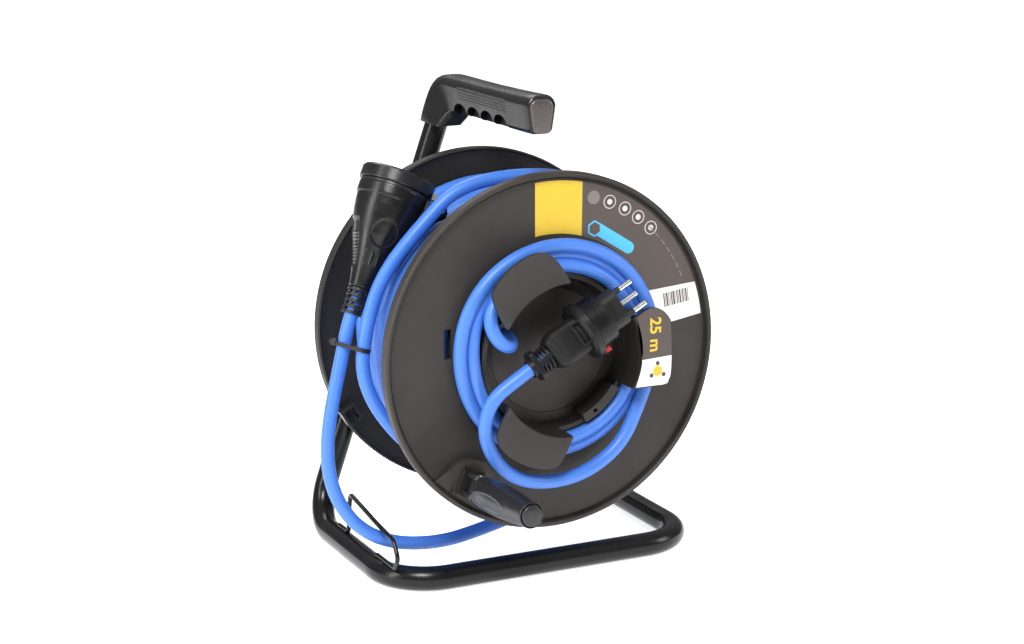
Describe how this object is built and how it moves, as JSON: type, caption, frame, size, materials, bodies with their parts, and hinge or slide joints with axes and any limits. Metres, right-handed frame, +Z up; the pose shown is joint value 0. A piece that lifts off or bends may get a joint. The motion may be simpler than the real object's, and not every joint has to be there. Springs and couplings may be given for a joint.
{
  "type": "extension cord reel",
  "caption": "Portable extension cord reel: bent tube stand with moulded handle, crank-turned drum wound with cord, plug stowed in the hub and a lidded coupling at the side.",
  "frame": {"origin": "on the floor under the middle of the stand and drum", "axes": "+Z up, -Y towards the crank side of the drum, +X to the right seen from the crank side"},
  "size_m": [0.2949, 0.3006, 0.359],
  "materials": {
    "powder_coat": "satin powder coat",
    "zinc_steel": "zinc plated",
    "pin_nickel": "nickel plated, polished",
    "cord_blue": "satin sheath",
    "soft_black": "matte soft moulding",
    "indicator_red": "gloss",
    "grip_black": "satin moulded",
    "drum_black": "fine matte moulded"
  },
  "bodies": {
    "frame": {"tube_frame": "powder_coat", "leg_sleeve": "powder_coat", "axle_bracket": "powder_coat", "axle": "zinc_steel", "axle_front_nut": "zinc_steel", "axle_front_washer": "zinc_steel", "axle_rear_washer": "zinc_steel", "axle_rear_nut": "zinc_steel", "wire_guide": "powder_coat", "handle_grip": "grip_black", "handle_end_cap": "grip_black", "handle_rivet": "zinc_steel", "cord_free_lead": "cord_blue", "cable_tie": "drum_black", "coupling_strain_relief": "soft_black", "coupling_body": "soft_black", "coupling_insert": "drum_black", "coupling_contacts": "zinc_steel", "coupling_seal": "soft_black", "lid_pin": "zinc_steel", "lid_spring": "zinc_steel"},
    "drum": {"front_flange": "drum_black", "cable_hub": "drum_black", "hub_cover": "drum_black", "cable_grommet": "drum_black", "front_bush": "drum_black", "front_flange_screws": "zinc_steel", "barrel": "drum_black", "rear_flange": "drum_black", "rear_bush": "drum_black", "rear_flange_screws": "zinc_steel", "edge_clip": "drum_black", "cable_clamp": "drum_black", "cable_clamp_screws": "zinc_steel", "crank_hinge_base": "grip_black", "crank_hinge_pin": "zinc_steel", "winding_coil": "cord_blue", "storage_coil": "cord_blue", "cord_passage": "cord_blue", "cord_curl": "cord_blue", "cord_plug_lead": "cord_blue", "plug_strain_relief": "soft_black", "plug_body": "soft_black", "plug_collar": "soft_black", "plug_skirt": "soft_black", "plug_front_insulator": "drum_black", "plug_pins": "pin_nickel", "plug_pin_sleeves": "drum_black", "plug_indicator": "indicator_red"},
    "crank_arm": {"crank_knuckle": "grip_black", "spindle_washer": "zinc_steel"},
    "crank_grip": {"crank_knob": "grip_black", "crank_knob_cap": "grip_black"},
    "lid": {"coupling_lid": "soft_black"}
  },
  "joints": [
    {"name": "drum_spin", "type": "hinge", "parent": "frame", "child": "drum", "pos_m": [0, 0.0423, 0.1714], "axis": [0, -1, 0], "continuous": true},
    {"name": "crank_fold", "type": "hinge", "parent": "drum", "child": "crank_arm", "pos_m": [-0.07, -0.0597, 0.082], "axis": [0.3696, 0, 0.9292], "range_deg": [0, 65]},
    {"name": "knob_spin", "type": "hinge", "parent": "crank_arm", "child": "crank_grip", "pos_m": [-0.07, -0.1096, 0.08514], "axis": [0, -0.998, 0.0628], "continuous": true},
    {"name": "lid_flip", "type": "hinge", "parent": "frame", "child": "lid", "pos_m": [-0.06117, 0.02012, 0.27032], "axis": [0.3987, 0.8406, -0.3666], "range_deg": [0, 50], "stiffness_Nm_per_rad": 0.02, "springref_deg": -34.38}
  ]
}
